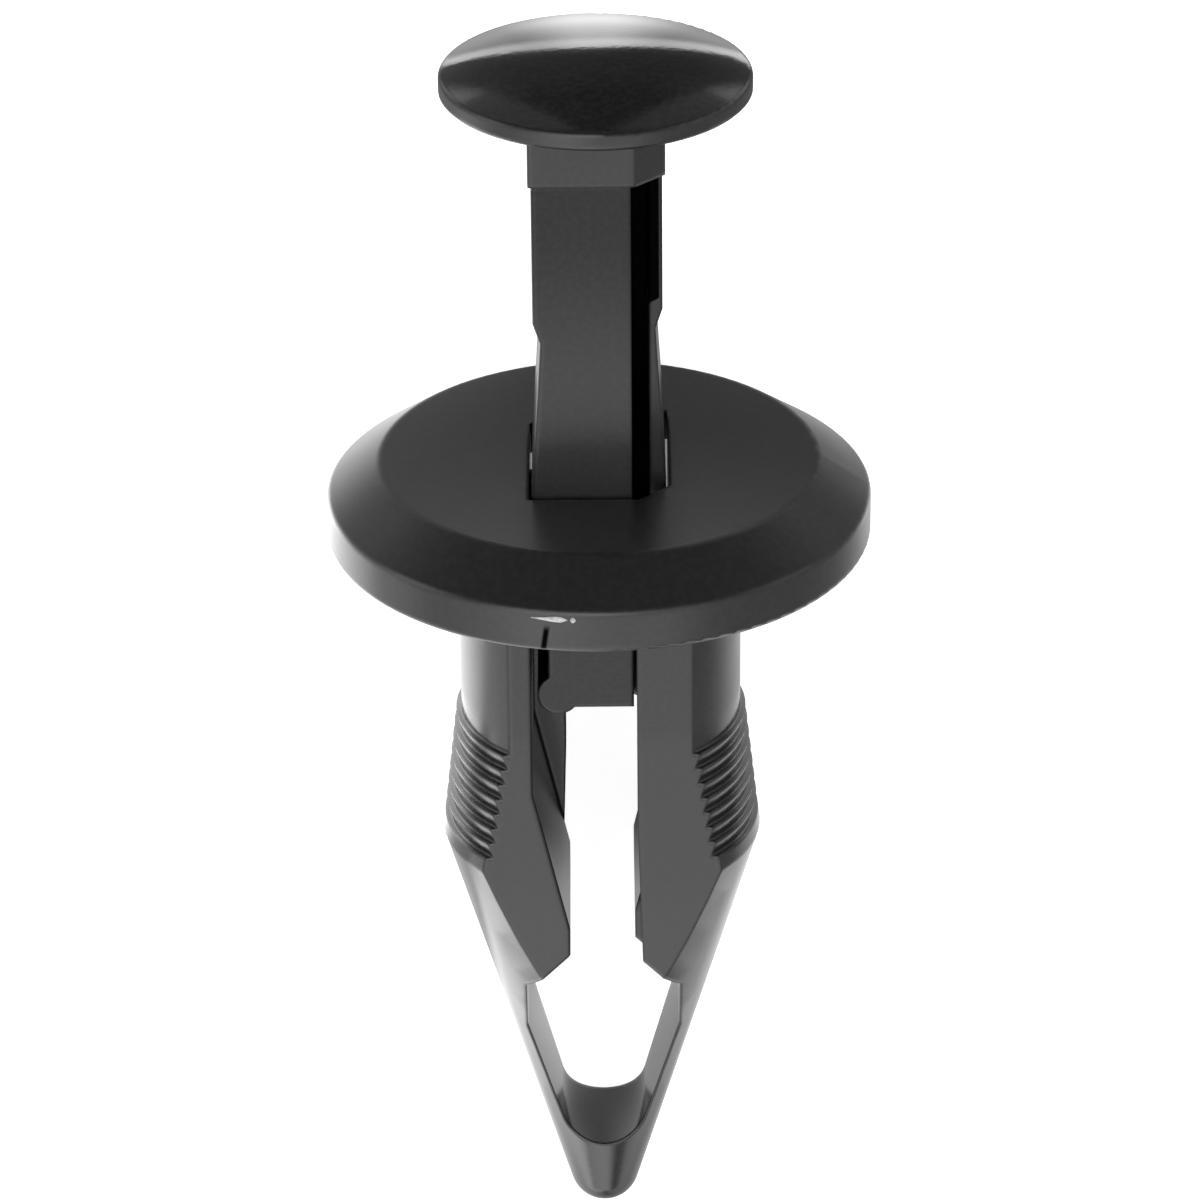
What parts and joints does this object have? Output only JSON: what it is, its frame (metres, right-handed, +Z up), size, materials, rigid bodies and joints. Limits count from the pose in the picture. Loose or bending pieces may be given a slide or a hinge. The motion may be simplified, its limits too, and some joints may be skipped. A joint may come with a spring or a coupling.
{
  "type": "push rivet",
  "caption": "Two-piece plastic push rivet: a flanged retainer with two ribbed legs and a tapered nose, and a headed pin that spreads the legs when it is pushed home.",
  "frame": {"origin": "centre of the box round the rivet, on the surface that it lies on", "axes": "+Z up, +Y along the lying rivet from nose to head, +X across it. The rivet's own axis lies in the YZ plane and rises 17.03 degrees towards the head, because it rests on the flange's rim and the nose's ball end."},
  "size_m": [0.018, 0.0424, 0.0181],
  "materials": {
    "retainer_nylon": "black moulded nylon, semi-gloss",
    "pin_nylon": "black moulded nylon, semi-gloss"
  },
  "bodies": {
    "retainer": {"retainer_body": "retainer_nylon"},
    "pin": {"push_pin": "pin_nylon"}
  },
  "joints": [
    {"name": "pin_slide", "type": "slide", "parent": "retainer", "child": "pin", "axis": [0, -0.9562, -0.2928], "range_m": [0, 0.013], "deforming": ["retainer_body"]}
  ]
}
